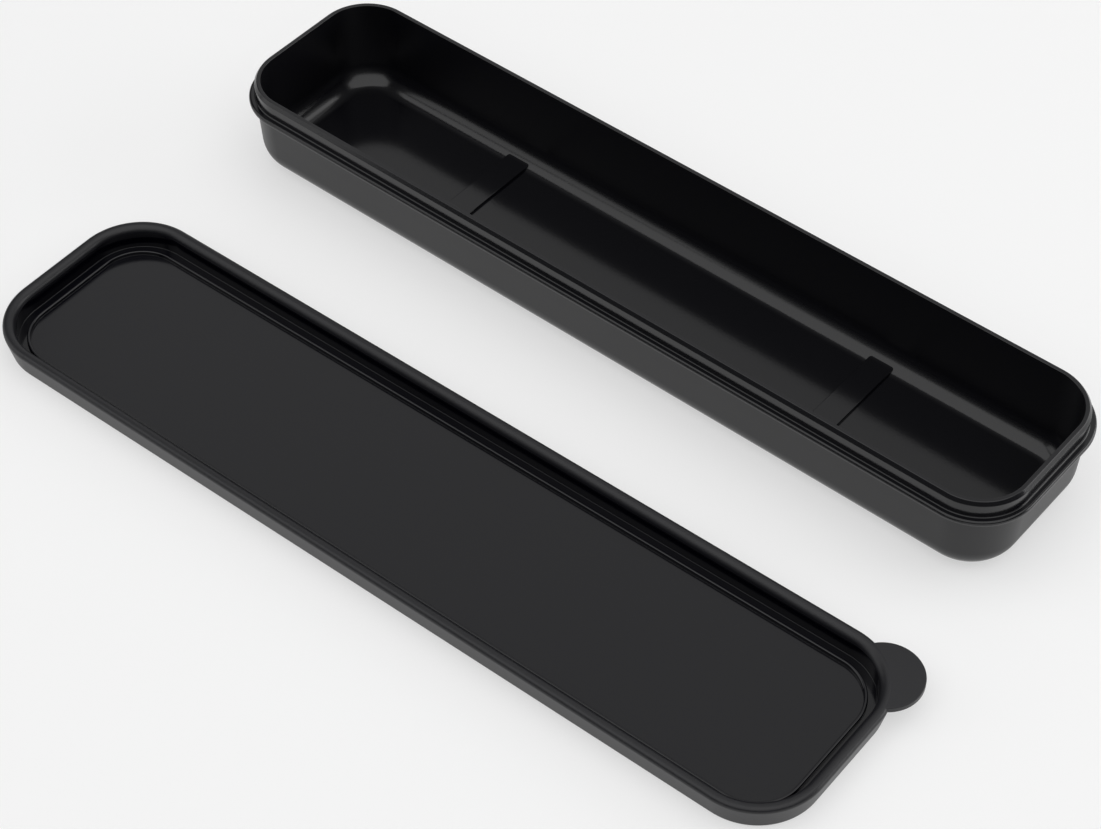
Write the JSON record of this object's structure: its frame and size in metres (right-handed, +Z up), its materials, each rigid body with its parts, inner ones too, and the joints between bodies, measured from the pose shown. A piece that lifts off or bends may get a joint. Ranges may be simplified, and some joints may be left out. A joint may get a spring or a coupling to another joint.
{
  "type": "travel cutlery case",
  "caption": "Long slim travel case for cutlery: a ribbed open tray with a stepped rim, and its push-on lid with a round finger tab lying beside it.",
  "frame": {"origin": "centre of the tray's flat underside", "axes": "+X along the tray's length, +Y away from the lid that lies beside it, +Z up out of the tray"},
  "size_m": [0.2324, 0.136, 0.0252],
  "materials": {
    "tray_plastic": "moulded black, semi-gloss",
    "lid_plastic": "moulded black, glossy panel, satin skirt"
  },
  "bodies": {
    "tray": {"tray": "tray_plastic"},
    "lid": {"lid": "lid_plastic"}
  },
  "joints": [
    {"name": "lid_turn_over", "type": "hinge", "parent": "tray", "child": "lid", "pos_m": [0.0004, -0.0408, 0.0141], "axis": [-1, -0.0097, 0], "range_deg": [0, 180]}
  ]
}
